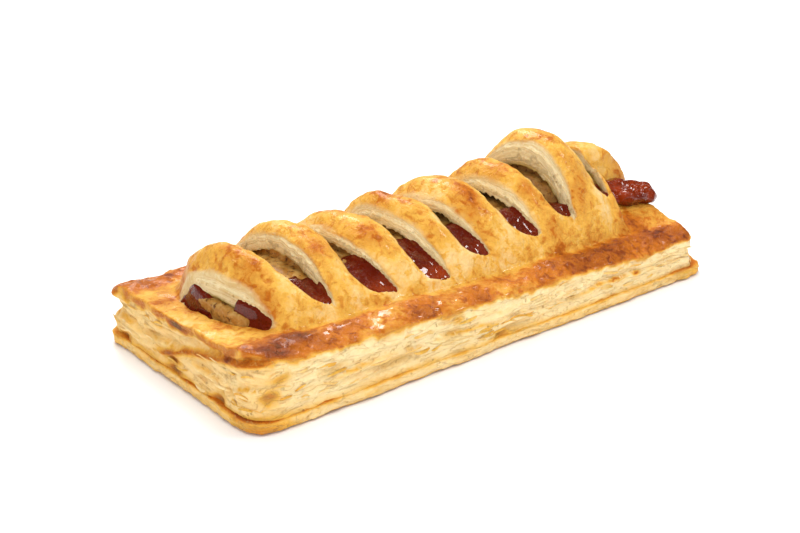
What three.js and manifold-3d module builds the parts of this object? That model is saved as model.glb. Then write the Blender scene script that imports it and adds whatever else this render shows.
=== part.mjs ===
/*
 * Sausage roll: a rectangular puff pastry parcel, open along eight slanting slits in its lid.
 * Through them show the rod of sausage meat that runs the length of the parcel and the dark
 * sauce that fills the tunnel round it, stands in the low ends of the slits and has boiled out
 * of the last slit onto the far corner.
 *
 * Millimetres, +Z up. +X runs along the roll, from the thick near end (-X) to the far end (+X).
 * The front, with the taller edge, is the -Y side. The roll rests on its flat bottom at z = 0.
 */
import * as THREE from 'three';
import { mergeVertices } from 'three/addons/utils/BufferGeometryUtils.js';
import Module from 'manifold-3d';

const wasm = await Module();
wasm.setup();
const { Manifold, Mesh: SolidMesh } = wasm;
const { lerp, clamp, smoothstep } = THREE.MathUtils;

// ---------------------------------------------------------------- driving dimensions

const LENGTH = 172;            // bottom sheet, end to end
const WIDTH = 78;              // bottom sheet, side to side
const CORNER = 8;              // corner radius of the sheets, seen from above
const RIM_INSET = 2.6;         // the lid's rim lies this far inside the bottom sheet's edge
const FAR_INSET = 2.5;         // and this much further at the far end
const RIM_HEIGHT = { frontNear: 18.6, frontFar: 11.6, backNear: 15.2, backFar: 12.4 };
const CORNER_LIFT = 2.6;       // the puffed near front corner stands this much higher
const CORNER_REACH = 16;       // and is this big
const SHEET = 3.6;             // thickness of the bottom sheet's lip, up to the crease

const HUMP_HALF = 25;          // half width of the lid's arch, between its feet
const HUMP_END = 81;           // where the hood comes down at the far end
const HOOD_START = 60;         // where the hood starts to fall towards that end
const END_LIFT = 3;            // the middle of the far rim stands this much higher
const END_REACH = 25;          // over this much of its length
const SHOULDER = 1.6;          // the border stands this much above the rim at the arch's foot
const RIDGE = 1.1;             // and puffs up by this much half way out to the rim
const PUFF = 0.6;              // unevenness of the border

// Height of each band over the middle line, near to far along the roll: at its near edge, at its
// top, which stands at the share `place` of the way across, and at its far edge, which droops.
const BANDS = [
  { near: 26, top: 35.2, far: 28.8, place: 0.52 },
  { near: 34, top: 36.8, far: 28.6, place: 0.35 },
  { near: 31.8, top: 35.8, far: 29, place: 0.4 },
  { near: 32, top: 36.7, far: 30.2, place: 0.4 },
  { near: 33, top: 37.6, far: 31, place: 0.4 },
  { near: 33.5, top: 38.8, far: 34, place: 0.45 },
  { near: 41, top: 44.6, far: 35, place: 0.32 },
  { near: 36, top: 36.4, far: 30, place: 0.2 },
];
const BACK_SLOPE = 0.15;       // near edges fall by this much for each mm behind the middle
const NEAR_CURVE = 2.2;        // how sharply a band turns down to its near edge
const FAR_CURVE = 2;           // and to its far edge
const ARCH_FLATNESS = 2.2;     // how broad the arch's crown is, seen along the roll
const ARCH_FOOT = 0.85;        // and how steeply it meets the border
const MOUTH_ROUNDING = 0.03;   // how the first band curls back behind the mouth
const COLLAPSE = 0.75;         // how far the hood has sunk in front, where the sauce boiled out
const LID = 3.8;               // thickness of the lid
const STEEPEST = 2;            // measured straight down it is at most this many times thicker

// A slit's far edge, the near edge of the band beyond it, crosses the middle of the roll at x and
// has swept `sweep` further along where y is -SWEEP_AT. From its tip at y = `front` the slit opens
// to `open` and tapers, by the power `taper`, to a bare cut at y = `top`. Behind that it opens by
// `behind` at most and ends at y = `back`.
const SLITS = [
  { x: -73, sweep: 6.4, open: 2.8, taper: 0.4, front: -20.5, top: 9, behind: 0.3, back: 12 },
  { x: -52.3, sweep: 3, open: 6, taper: 0.3, front: -21.8, top: 12, behind: 0.3, back: 16 },
  { x: -36.3, sweep: 6.8, open: 6.8, taper: 1.4, front: -23.3, top: -3, behind: 2.4, back: 16 },
  { x: -17.4, sweep: 6.4, open: 6.2, taper: 1.4, front: -23.4, top: -4, behind: 2.4, back: 16 },
  { x: -1.6, sweep: 7.4, open: 5.4, taper: 1.3, front: -21.7, top: -5, behind: 2.2, back: 16 },
  { x: 20.4, sweep: 7, open: 5.6, taper: 1.2, front: -20.6, top: -1, behind: 2.4, back: 15 },
  { x: 38.6, sweep: 2.8, open: 4.6, taper: 0.6, front: -19.6, top: 6, behind: 1, back: 15 },
  { x: 61.2, sweep: -2.6, open: 3, taper: 0.7, front: -18, top: 8, behind: 0.6, back: 17 },
];
const SWEEP_AT = 20;
const SWEEP_POWER = 1.6;
const BACK_SWEEP = 0.13;       // behind the middle, the far edge comes back by this for each mm
const CUT = 1;                 // width of a slit where it is a bare cut
const TIP_POWER = 0.28;        // how bluntly a slit opens from its front tip
const CUT_ABOVE = 6;           // the cut starts this far above the lid
const CUT_BELOW = 2.5;         // and ends this far below it

// The hollow under the lid, with the least height of its roof over its floor.
const TUNNEL = { near: -77, far: 73, half: 18.5, floor: 6, least: 3, footInset: 1.5 };
const MEAT = { near: -74.5, far: 70.5, halfWidth: 11.4, halfHeight: 10.2, middle: 17.4, round: 9 };
const SAUCE_LEVEL = 21.5;
const SAUCE_RISE = { height: 5, from: -48, to: 28, over: 12 };  // it stands higher in between
const BELOW_LID = 0.9;         // in the slits the sauce ends this far below the lid's top
const RIPPLE = 0.5;            // unevenness of the sauce
const BLOB = { x: 75.5, y: -11.5, z: 20.3, halfLength: 9, halfWidth: 7.5, halfHeight: 4.6 };
const NECK = { x: 66.5, y: -10, z: 20.3, halfLength: 8, halfWidth: 4.5, halfHeight: 4 };
const GAP = 0.9;               // clearance between the pastry and what lies in it

// ---------------------------------------------------------------- small helpers

// Smooth noise from a hashed lattice, -1 to 1: the same place and seed always give one value.
function lattice(i, j, seed) {
  const wave = Math.sin(i * 127.1 + j * 311.7 + seed * 74.7) * 43758.5453;
  return 2 * (wave - Math.floor(wave)) - 1;
}

function noise(x, y, seed) {
  const i = Math.floor(x);
  const j = Math.floor(y);
  const u = smoothstep(x - i, 0, 1);
  const v = smoothstep(y - j, 0, 1);
  const low = lerp(lattice(i, j, seed), lattice(i + 1, j, seed), u);
  const high = lerp(lattice(i, j + 1, seed), lattice(i + 1, j + 1, seed), u);
  return lerp(low, high, v);
}

function bump(distance, radius) {
  return Math.exp(-(distance * distance) / (radius * radius));
}

// A closed solid from rings of equal length: each ring joins the next, and both ends are
// capped, or drawn together where the ring has collapsed to a line or a point.
function loft(rings) {
  const count = rings[0].length;
  const positions = rings.flat().flatMap((point) => [point.x, point.y, point.z]);
  const index = [];
  for (let r = 0; r + 1 < rings.length; r += 1) {
    for (let k = 0; k < count; k += 1) {
      const a = r * count + k;
      const b = r * count + ((k + 1) % count);
      index.push(a, b, b + count, a, b + count, a + count);
    }
  }
  const last = (rings.length - 1) * count;
  for (let k = 1; k + 1 < count; k += 1) {
    index.push(0, k + 1, k);
    index.push(last, last + k, last + k + 1);
  }
  const geometry = new THREE.BufferGeometry();
  geometry.setAttribute('position', new THREE.Float32BufferAttribute(positions, 3));
  geometry.setIndex(index);
  return solid(geometry);
}

// A manifold solid from a three.js geometry: equal vertices become one, empty triangles go,
// and a solid whose faces point inwards is turned right side out.
function solid(geometry) {
  geometry.deleteAttribute('normal');
  geometry.deleteAttribute('uv');
  const merged = mergeVertices(geometry, 1e-4);
  const corners = merged.index.array;
  const kept = [];
  for (let t = 0; t < corners.length; t += 3) {
    const [a, b, c] = corners.slice(t, t + 3);
    if (a !== b && b !== c && c !== a) {
      kept.push(a, b, c);
    }
  }
  const build = (triVerts) => new Manifold(new SolidMesh({
    numProp: 3,
    vertProperties: new Float32Array(merged.attributes.position.array),
    triVerts: new Uint32Array(triVerts),
  }));
  const whole = build(kept);
  return whole.volume() > 0 ? whole : build(kept.reverse());
}

// ---------------------------------------------------------------- the lid's surface

// The x of a slit's far edge at y.
function farEdge(slit, y) {
  const swept = slit.sweep * (Math.max(-y, 0) / SWEEP_AT) ** SWEEP_POWER;
  return slit.x + swept - BACK_SWEEP * Math.max(y, 0);
}

// The x of a slit's near edge at y: the bare cut and what it has opened by.
function nearEdge(slit, y) {
  const shape = (t) => t ** TIP_POWER * (1 - t) ** slit.taper;
  const widest = shape(TIP_POWER / (TIP_POWER + slit.taper));
  const inFront = clamp((y - slit.front) / (slit.top - slit.front), 0, 1);
  const behind = clamp((y - slit.top) / (slit.back - slit.top), 0, 1);
  const opened = slit.open * shape(inFront) / widest + slit.behind * Math.sin(Math.PI * behind);
  return farEdge(slit, y) - CUT - opened;
}

// Height of the rim, or of the flat border inside it, at a place.
function borderHeight(x, y) {
  const along = clamp(x / LENGTH + 0.5, 0, 1);
  const across = clamp(y / WIDTH + 0.5, 0, 1);
  const front = lerp(RIM_HEIGHT.frontNear, RIM_HEIGHT.frontFar, along);
  const back = lerp(RIM_HEIGHT.backNear, RIM_HEIGHT.backFar, along);
  const corner = Math.hypot(x + LENGTH / 2, y + WIDTH / 2);
  const puff = PUFF * noise(x / 14, y / 9, 3);
  const farEnd = END_LIFT * smoothstep(x, LENGTH / 2 - END_REACH, LENGTH / 2) * (1 - (2 * y / WIDTH) ** 2);
  return lerp(front, back, across) + CORNER_LIFT * bump(corner, CORNER_REACH) + farEnd + puff;
}

// The border puffs up into a low ridge between the arch's foot and the rim.
function border(x, y) {
  const across = clamp((Math.abs(y) - HUMP_HALF) / (WIDTH / 2 - HUMP_HALF - RIM_INSET), 0, 1);
  const ridge = RIDGE * Math.sin(Math.PI * across) * (1 + PUFF * noise(x / 9, y / 9, 5));
  return borderHeight(x, y) + SHOULDER * (1 - across) + ridge;
}

// Height of the bands over the middle line, for the band that (x, y) lies in.
function crest(x, y) {
  let band = -1;
  while (band + 1 < SLITS.length && x >= farEdge(SLITS[band + 1], y)) {
    band += 1;
  }
  if (band < 0) {
    return BANDS[0].near;
  }
  const { near, top, far, place } = BANDS[band];
  const start = farEdge(SLITS[band], y);
  const end = band + 1 < SLITS.length ? nearEdge(SLITS[band + 1], y) : HUMP_END + 6;
  const across = (x - start) / (end - start);
  if (across < place) {
    return lerp(top, near - BACK_SLOPE * Math.max(y, 0), (1 - across / place) ** NEAR_CURVE);
  }
  return lerp(top, far, Math.min((across - place) / (1 - place), 1) ** FAR_CURVE);
}

// Share of the arch that stands at a place: 1 on the middle line, 0 at the feet. The hood's
// front has collapsed where the sauce boiled out.
function arch(x, y) {
  const across = clamp(Math.abs(y) / HUMP_HALF, 0, 1);
  const rounding = MOUTH_ROUNDING * Math.max(y - 4, 0) ** 2;
  const mouth = farEdge(SLITS[0], y) + rounding;
  const near = smoothstep(x, mouth - 2 - rounding / 2, mouth - 0.2 + rounding / 2);
  const fall = clamp((x - HOOD_START) / (HUMP_END - HOOD_START), 0, 1);
  const far = Math.sqrt(1 - fall * fall);
  const collapse = COLLAPSE * smoothstep(-y, 3, 9) * smoothstep(x, HOOD_START, HOOD_START + 4);
  return near * far * (1 - collapse) * (1 - across ** ARCH_FLATNESS) ** ARCH_FOOT;
}

function lidTop(x, y) {
  const base = border(x, y);
  return base + (crest(x, y) - border(x, 0)) * arch(x, y);
}

// Thickness of the lid measured straight down, so that it stays even on the arch's slopes.
function lidDepth(x, y) {
  const rise = 20;
  const slope = (arch(x, y + 1) - arch(x, y - 1)) * rise / 2;
  return LID * Math.min(Math.hypot(1, slope), STEEPEST);
}

// ---------------------------------------------------------------- the crust's outside

// One quarter of a rounded rectangle, then its three mirror images: places with normals.
function outline() {
  const longSteps = 26;
  const cornerSteps = 4;
  const shortSteps = 8;
  const straightX = LENGTH / 2 - CORNER;
  const straightY = WIDTH / 2 - CORNER;
  const quarter = [];
  for (let k = 0; k < shortSteps; k += 1) {
    quarter.push({ x: LENGTH / 2, y: straightY * k / shortSteps, nx: 1, ny: 0 });
  }
  for (let k = 0; k <= cornerSteps; k += 1) {
    const turn = (Math.PI / 2) * k / cornerSteps;
    const nx = Math.cos(turn);
    const ny = Math.sin(turn);
    quarter.push({ x: straightX + CORNER * nx, y: straightY + CORNER * ny, nx, ny });
  }
  for (let k = 1; k <= longSteps; k += 1) {
    quarter.push({ x: straightX * (1 - k / longSteps), y: WIDTH / 2, nx: 0, ny: 1 });
  }
  const turned = (point, sx, sy) => ({ x: point.x * sx, y: point.y * sy, nx: point.nx * sx, ny: point.ny * sy });
  const backwards = [...quarter].reverse();
  return [
    ...quarter,
    ...backwards.slice(1).map((point) => turned(point, -1, 1)),
    ...quarter.slice(1).map((point) => turned(point, -1, -1)),
    ...backwards.slice(1, -1).map((point) => turned(point, 1, -1)),
  ];
}

// The side, from the flat bottom up to the rim: how far in, and how high as a share of the
// way from the crease between the two sheets to the rim. Heights below the crease are in mm.
const LIP = [
  { inset: 2.4, z: 0 },
  { inset: 0.5, z: 0.9 },
  { inset: 0, z: 2.2 },
  { inset: 1.1, z: SHEET - 0.3 },
  { inset: 2.5, z: SHEET + 0.4 },
];
const LAYERS = [
  { inset: 1.5, share: 0.14 },
  { inset: 2.3, share: 0.3 },
  { inset: 1.4, share: 0.44 },
  { inset: 2.6, share: 0.6 },
  { inset: 2.0, share: 0.74 },
  { inset: 3.0, share: 0.86 },
  { inset: RIM_INSET, share: 0.97 },
];

function crustRings() {
  const around = outline();
  const medial = LENGTH / 2 - WIDTH / 2 + 8;
  const inward = (point, inset, z) => {
    const extra = FAR_INSET * Math.max(point.nx, 0) * smoothstep(z, SHEET, 2 * SHEET);
    return { x: point.x - point.nx * (inset + extra), y: point.y - point.ny * inset, z };
  };
  const wave = (k, seed) => 0.8 * noise(k / 5, seed, seed) + 0.4 * noise(k / 2, seed, seed + 1);
  const endThins = (point) => 1 - 0.35 * smoothstep(Math.abs(point.x), LENGTH / 2 - 20, LENGTH / 2);
  const rings = [];
  rings.push(around.map((point) => ({ x: clamp(point.x, -medial, medial), y: 0, z: 0 })));
  LIP.forEach((step, level) => {
    rings.push(around.map((point, k) => {
      const ragged = level === 0 ? 0 : 0.5 * Math.abs(wave(k, 11));
      return inward(point, step.inset + ragged, step.z);
    }));
  });
  LAYERS.forEach((step, level) => {
    rings.push(around.map((point, k) => {
      const rim = borderHeight(point.x, point.y);
      const ragged = wave(k, 20 + level) * 0.7 * endThins(point);
      return inward(point, step.inset + ragged, lerp(SHEET + 0.4, rim, step.share));
    }));
  });
  // over the rim and across the lid to the middle line, closer together on the arch's sides
  const lidSteps = [0.955, 0.9, 0.82, 0.74, 0.68, 0.61, 0.53, 0.44, 0.34, 0.23, 0.12, 0];
  lidSteps.forEach((share) => {
    rings.push(around.map((point) => {
      const rim = inward(point, RIM_INSET, 2 * SHEET);
      const middle = clamp(rim.x, -medial, medial);
      const x = lerp(middle, rim.x, share);
      const y = rim.y * share;
      return { x, y, z: lidTop(x, y) };
    }));
  });
  return rings;
}

// ---------------------------------------------------------------- tunnel and slits

// The hollow under the lid.
function tunnel() {
  const stations = 32;
  const roofSteps = 8;
  const rings = [];
  for (let s = 0; s <= stations; s += 1) {
    const x = lerp(TUNNEL.near, TUNNEL.far, s / stations);
    const fromEnd = Math.min(x - TUNNEL.near, TUNNEL.far - x);
    const half = TUNNEL.half * Math.sqrt(smoothstep(fromEnd, -6, 9));
    const ring = [];
    for (let k = 0; k <= roofSteps; k += 1) {
      const y = half * (1 - 2 * k / roofSteps);
      ring.push({ x, y, z: Math.max(lidTop(x, y) - lidDepth(x, y), TUNNEL.floor + TUNNEL.least) });
    }
    ring.push({ x, y: -half + TUNNEL.footInset, z: TUNNEL.floor });
    ring.push({ x, y: half - TUNNEL.footInset, z: TUNNEL.floor });
    rings.push(ring);
  }
  return loft(rings);
}

// A slit, which follows the lid down to its foot at both tips.
function slitCutter(slit) {
  const steps = 14;
  const rings = [];
  for (let s = 0; s <= steps; s += 1) {
    const turn = Math.PI * s / steps;
    const y = lerp(slit.front, slit.back, 0.5 - 0.5 * Math.cos(turn));
    const near = nearEdge(slit, y);
    const far = farEdge(slit, y);
    const edges = [lidTop(near, y), lidTop(far, y), lidTop(far + 0.1, y)];
    const top = Math.max(...edges) + CUT_ABOVE;
    const towardsTip = Math.abs(Math.cos(turn)) ** 8;
    const bottom = Math.min(...edges) - lerp(lidDepth(near, y) + CUT_BELOW, LID, towardsTip);
    rings.push([
      { x: near, y, z: bottom },
      { x: near, y, z: top },
      { x: far, y, z: top },
      { x: far, y, z: bottom },
    ]);
  }
  return loft(rings);
}

// ---------------------------------------------------------------- filling

// The rod of meat, `grow` larger all round: round ends, a slightly uneven skin.
function meatRod(grow) {
  const stations = 24;
  const sides = 14;
  const rings = [];
  for (let s = 0; s <= stations; s += 1) {
    const turn = Math.PI * s / stations;
    const x = lerp(MEAT.near - grow, MEAT.far + grow, 0.5 - 0.5 * Math.cos(turn));
    const fromEnd = clamp(Math.min(x - MEAT.near + grow, MEAT.far + grow - x) / MEAT.round, 0, 1);
    const size = Math.sqrt(1 - (1 - fromEnd) ** 2);
    const ring = [];
    for (let k = 0; k < sides; k += 1) {
      const angle = 2 * Math.PI * k / sides;
      const uneven = 0.35 * noise(x / 7, 3 * Math.sin(angle), 41);
      ring.push({
        x,
        y: (MEAT.halfWidth + grow + uneven) * size * Math.cos(angle),
        z: MEAT.middle + (MEAT.halfHeight + grow + uneven) * size * Math.sin(angle),
      });
    }
    rings.push(ring);
  }
  return loft(rings);
}

// Height of the sauce: nearly level in the tunnel, and just below the lid where it stands in
// the tips of the slits.
function sauceTop(x, y) {
  const { height, from, to, over } = SAUCE_RISE;
  const rise = height * smoothstep(x, from - over, from) * (1 - smoothstep(x, to, to + over));
  const level = SAUCE_LEVEL + rise + RIPPLE * noise(x / 8, y / 8, 51);
  return Math.min(level, lidTop(x, y) - BELOW_LID);
}

// Everything below the sauce's surface, as a height field over the tunnel.
function belowSauce() {
  const columns = 21;
  const rows = 8;
  const halfDepth = 27;
  const rings = [];
  for (let c = 0; c <= columns; c += 1) {
    const x = lerp(TUNNEL.near - 6, TUNNEL.far + 10, c / columns);
    const ring = [{ x, y: -halfDepth, z: 0 }];
    for (let r = 0; r <= rows; r += 1) {
      const y = lerp(-halfDepth, halfDepth, r / rows);
      ring.push({ x, y, z: sauceTop(x, y) });
    }
    ring.push({ x, y: halfDepth, z: 0 });
    rings.push(ring);
  }
  return loft(rings);
}

// An ellipsoid, `grow` larger all round.
function ellipsoid({ x, y, z, halfLength, halfWidth, halfHeight }, grow) {
  const ball = new THREE.SphereGeometry(1, 16, 10);
  ball.rotateX(Math.PI / 2);
  ball.scale(halfLength + grow, halfWidth + grow, halfHeight + grow);
  ball.translate(x, y, z);
  return solid(ball);
}

// The sauce that has boiled out of the last slit, with its neck in the slit, `grow` larger.
function spilled(grow) {
  return ellipsoid(BLOB, grow).add(ellipsoid(NECK, grow));
}

// ---------------------------------------------------------------- assembly

// The largest piece of a solid, once edges and bumps smaller than `sliver` are smoothed away.
function cleaned(whole, sliver) {
  const pieces = whole.simplify(sliver).decompose();
  return pieces.sort((a, b) => b.volume() - a.volume())[0];
}

// What is left of a solid once its own copies, moved by the margin each way, have trimmed it.
function trimmed(whole, margin) {
  const moves = [[margin, 0, 0], [0, margin, 0], [0, 0, margin]];
  return moves.reduce((left, move) => {
    const back = move.map((value) => -value);
    return left.intersect(whole.translate(move)).intersect(whole.translate(back));
  }, whole);
}

const meat = meatRod(0);
const hollows = [tunnel(), ...SLITS.map(slitCutter)];
const pool = Manifold.union(hollows.map((hollow) => trimmed(hollow, GAP)));
const parcel = loft(crustRings()).subtract(Manifold.union(hollows));
const crust = cleaned(parcel.subtract(meatRod(GAP)).subtract(spilled(GAP)), 0.11);
const sauce = cleaned(pool.intersect(belowSauce()).add(spilled(0)).subtract(meatRod(GAP)), 0.3);

function meshOf(name, whole, material) {
  const { vertProperties, triVerts } = whole.getMesh();
  const geometry = new THREE.BufferGeometry();
  geometry.setAttribute('position', new THREE.Float32BufferAttribute(vertProperties, 3));
  geometry.setIndex(new THREE.Uint32BufferAttribute(triVerts, 1));
  geometry.computeVertexNormals();
  const mesh = new THREE.Mesh(geometry, new THREE.MeshStandardMaterial({ metalness: 0, ...material }));
  mesh.name = name;
  return mesh;
}

const roll = new THREE.Group();
roll.add(meshOf('pastry', crust, { color: 0xe2a04a, roughness: 0.5 }));
roll.add(meshOf('sausage', meat, { color: 0x7d5a2c, roughness: 0.6 }));
roll.add(meshOf('sauce', sauce, { color: 0x5e1408, roughness: 0.15 }));

export default roll;
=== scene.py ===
"""A sausage roll: a parcel of puff pastry, slashed across its lid, with meat and sauce inside.

The crust, its bottom sheet, the meat and the sauce are pressed from slabs and balls, carved,
remeshed fine and given the relief that baking leaves. Sizes are in millimetres until a vertex is
placed. +X runs along the roll, from the thick near end to the far end, and the front is -Y.
"""
import math

import bpy
import numpy as np
from bpy.props import FloatProperty, FloatVectorProperty, PointerProperty
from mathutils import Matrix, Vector


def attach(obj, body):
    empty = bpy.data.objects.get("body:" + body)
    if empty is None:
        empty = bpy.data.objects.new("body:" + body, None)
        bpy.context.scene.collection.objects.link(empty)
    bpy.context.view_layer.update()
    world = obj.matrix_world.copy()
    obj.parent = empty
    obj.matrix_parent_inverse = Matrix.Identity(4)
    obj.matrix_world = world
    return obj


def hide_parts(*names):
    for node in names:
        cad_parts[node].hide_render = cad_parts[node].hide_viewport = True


bl_info = {
    "name": "Slashed Sausage Roll",
    "version": (1, 0, 0),
    "blender": (4, 5, 0),
    "location": "3D View > Sidebar > Sausage Roll",
    "description": "Builds a puff pastry sausage roll with meat and sauce in its slits",
    "category": "Add Mesh",
}

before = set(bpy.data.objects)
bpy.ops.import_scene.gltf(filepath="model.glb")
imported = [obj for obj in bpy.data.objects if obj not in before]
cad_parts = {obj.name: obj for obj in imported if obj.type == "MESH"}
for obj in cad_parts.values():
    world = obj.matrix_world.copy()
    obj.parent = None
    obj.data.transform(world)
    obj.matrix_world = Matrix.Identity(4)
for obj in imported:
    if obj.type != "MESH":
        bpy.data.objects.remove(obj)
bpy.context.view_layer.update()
MM = 0.001
FAR_AWAY = 99.0
SMOOTH_BELOW = 60  # degrees between faces that are shaded as one surface

# ---- the roll's own sizes, in mm

LENGTH, WIDTH, CORNER = 172.0, 78.0, 8.0
RIM_INSET, FAR_INSET = 2.6, 3.6
RIM_FRONT_NEAR, RIM_FRONT_FAR, RIM_BACK_NEAR, RIM_BACK_FAR = 18.6, 11.6, 15.2, 12.4
CORNER_LIFT, END_LIFT = 2.6, 3.0
SHEET = 3.6  # thickness of the bottom sheet, up to the crease
HUMP_HALF, HUMP_END, HOOD_START = 25.0, 84.0, 60.0  # the arched lid: half width, and x
LID = 3.8  # thickness of the lid
# each band over the middle line: height of its near edge, top and far edge, and where its top is
BANDS = np.array([
    (26, 35.2, 28.8, 0.52), (34, 36.8, 28.6, 0.35), (31.8, 35.8, 29, 0.40),
    (32, 36.7, 30.2, 0.40), (33, 37.6, 31, 0.40), (33.5, 38.8, 34, 0.45),
    (41, 44.6, 35, 0.32), (36, 36.4, 30, 0.20),
])
# each slit: x of its far edge, sweep towards the front, opening, taper, front tip, place where
# it has narrowed to a bare cut, opening behind that and back end
SLITS = np.array([
    (-73, 6.4, 1.9, 0.4, -20.5, 9, 0.3, 12), (-52.3, 3, 6, 0.3, -21.8, 12, 0.3, 16),
    (-36.3, 6.8, 6.8, 1.4, -23.3, -3, 2.4, 16), (-17.4, 6.4, 6.2, 1.4, -23.4, -4, 2.4, 16),
    (-1.6, 7.4, 5.4, 1.3, -21.7, -5, 2.2, 16), (20.4, 7, 5.6, 1.2, -20.6, -1, 2.4, 15),
    (38.6, 2.8, 4.6, 0.6, -19.6, 6, 1, 15), (61.2, -2.6, 3, 0.7, -18, 8, 0.6, 17),
])
# how wide the bare, unglazed edge of each band is
TORN = np.array([1.0, 1.2, 0.9, 1.3, 0.8, 1.0, 2.2, 0.5])
# how much thicker the lid is there
THICKER = np.array([0.0, 1.3, 0.0, 0.3, 0.0, 0.3, 3.8, 0.0])
CUT, TIP_POWER = 1.0, 0.28  # width of a bare cut, and how bluntly a slit's front tip opens
BACK_SWEEP, BACK_SLOPE = 0.13, 0.15  # how slits lean and bands fall behind the crest
TUNNEL_NEAR, TUNNEL_FAR, TUNNEL_HALF, TUNNEL_FLOOR = -77.0, 73.0, 18.5, 6.0
MEAT_NEAR, MEAT_FAR, MEAT_HALF_WIDTH, MEAT_HALF_HEIGHT, MEAT_MIDDLE = -74.6, 70.5, 14.8, 10.2, 17.4
SAUCE_LEVEL = 21.5
MOUTH = -73.0  # where the lid starts, behind the first slit
CORNER_REACH = 16  # size of the puffed near front corner
WALL_INSET = 2.3  # how far the slab of the parcel is inset before its relief
# the most triangles that each piece keeps
CRUST_MOST, SHEET_MOST, MEAT_MOST, SAUCE_MOST, SPILL_MOST = 190000, 110000, 60000, 150000, 40000


# ---- settings that a user may change

def length_setting(name, description, value):
    return FloatProperty(name=name, description=description, default=value, unit="LENGTH",
                         subtype="DISTANCE", precision=5)


def tone(code):
    """The linear colour of an sRGB code such as f5c069."""
    parts = [int(code[k:k + 2], 16) / 255 for k in (0, 2, 4)]
    return [p / 12.92 if p <= 0.04045 else ((p + 0.055) / 1.055) ** 2.4 for p in parts]


def colour_setting(name, description, code):
    return FloatVectorProperty(name=name, description=description, default=tone(code), size=3,
                               min=0, max=1, subtype="COLOR")


class CrustSettings(bpy.types.PropertyGroup):
    fineness: length_setting("Fineness", "Size of the crust's grid before it is thinned", 0.00052)
    leaf_relief: length_setting("Leaf relief", "How far the leaves stand out of the sides", 0.001)
    blister_relief: length_setting("Blister relief", "Height of the blisters on the lid", 0.00035)
    cream: colour_setting("Cream", "The palest pastry, on the sides", "fbe5b1")
    golden: colour_setting("Golden", "Lightly baked lid", "eab249")
    amber: colour_setting("Amber", "Well baked lid", "c26c12")
    russet: colour_setting("Russet", "The border's browned crests", "873c0a")
    scorched: colour_setting("Scorched", "The darkest spots", "55230b")
    toasted: colour_setting("Toasted", "Thin leaf edges on the sides", "e2b36a")
    # painted shade: the Hollow colour darkens pits and cavities between the leaves as if they lay
    # in shadow
    hollow: colour_setting("Hollow", "Pits and cavities between the leaves", "c39c58")
    cut_leaf: colour_setting("Cut leaf", "The cut faces of the bands", "ecd8a8")
    # painted shade in part: pastry under the lid is unbrowned, and its dark olive tone is the lid's
    # shadow painted on
    steamed: colour_setting("Steamed", "Pastry that stayed under the lid", "b59a4c")


class FillingSettings(bpy.types.PropertyGroup):
    meat_colour: colour_setting("Meat", "Cooked sausage meat", "b98034")
    meat_dark: colour_setting("Dark meat", "Browned grains of the meat", "6b4217")
    meat_pale: colour_setting("Pale meat", "Fat and onion in the meat", "d0a35a")
    sauce_colour: colour_setting("Sauce", "The sauce where it is deep", "591103")
    sauce_thin: colour_setting("Thin sauce", "The sauce where it thins out", "a23a0d")
    grain: length_setting("Grain", "Relief of the minced meat", 0.0004)


class StageSettings(bpy.types.PropertyGroup):
    floor_colour: colour_setting("Floor", "Colour of the plain floor", "fafafa")
    key_power: FloatProperty(name="Key light", description="Power of the main softbox",
                             default=5.0, unit="POWER", min=0)
    room_light: FloatProperty(name="Room light", description="Strength of the even surroundings",
                              default=0.5, min=0)


# ---- noise and small helpers

def unit(value):
    """The value held between 0 and 1."""
    return np.clip(value, 0, 1)


def ramp(value, low, high):
    """0 at `low`, 1 at `high`, and smooth between them."""
    t = unit((value - low) / (high - low))
    return t * t * (3 - 2 * t)


def mixed(a, b, share):
    return a + (b - a) * share


def bump(distance, radius):
    return np.exp(-(distance / radius) ** 2)


def lattice(i, j, k, seed):
    wave = np.sin(i * 127.1 + j * 311.7 + k * 191.3 + seed * 74.7) * 43758.5453
    return 2 * (wave - np.floor(wave)) - 1


def noise(x, y, size, seed, z=0.0):
    """Smooth noise of -1 to 1 from a hashed lattice, with features of about `size`."""
    x, y, z = np.broadcast_arrays(*(np.asarray(n, float) / size for n in (x, y, z)))
    i, j, k = np.floor(x), np.floor(y), np.floor(z)
    u, v, w = (ramp(a - b, 0, 1) for a, b in ((x, i), (y, j), (z, k)))
    total = 0
    for di, su in ((0, 1 - u), (1, u)):
        for dj, sv in ((0, 1 - v), (1, v)):
            for dk, sw in ((0, 1 - w), (1, w)):
                total = total + lattice(i + di, j + dj, k + dk, seed) * su * sv * sw
    return total


def rough_noise(x, y, z, seed):
    """Noise with finer noise on it, about -1 to 1."""
    total = 0
    for octave in range(3):
        step = 2.0 ** octave
        total = total + noise(x * step, y * step, 1, seed + octave, z * step) / step
    return total / 1.5


# ---- the lid's surface

def far_edge(slit, y):
    """The x of a slit's far edge, which is the near edge of the band beyond it."""
    return slit[0] + slit[1] * (np.maximum(-y, 0) / 20) ** 1.6 - BACK_SWEEP * np.maximum(y, 0)


def near_edge(slit, y):
    """The x of a slit's near edge: it opens bluntly from its front tip and tapers to a cut."""
    _, _, opening, taper, front, top, behind, back = slit
    widest_at = TIP_POWER / (TIP_POWER + taper)
    widest = widest_at ** TIP_POWER * (1 - widest_at) ** taper
    share = unit((y - front) / (top - front))
    past = unit((y - top) / (back - top))
    opened = opening * share ** TIP_POWER * (1 - share) ** taper / widest
    return far_edge(slit, y) - CUT - opened - behind * np.sin(np.pi * past)


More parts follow.
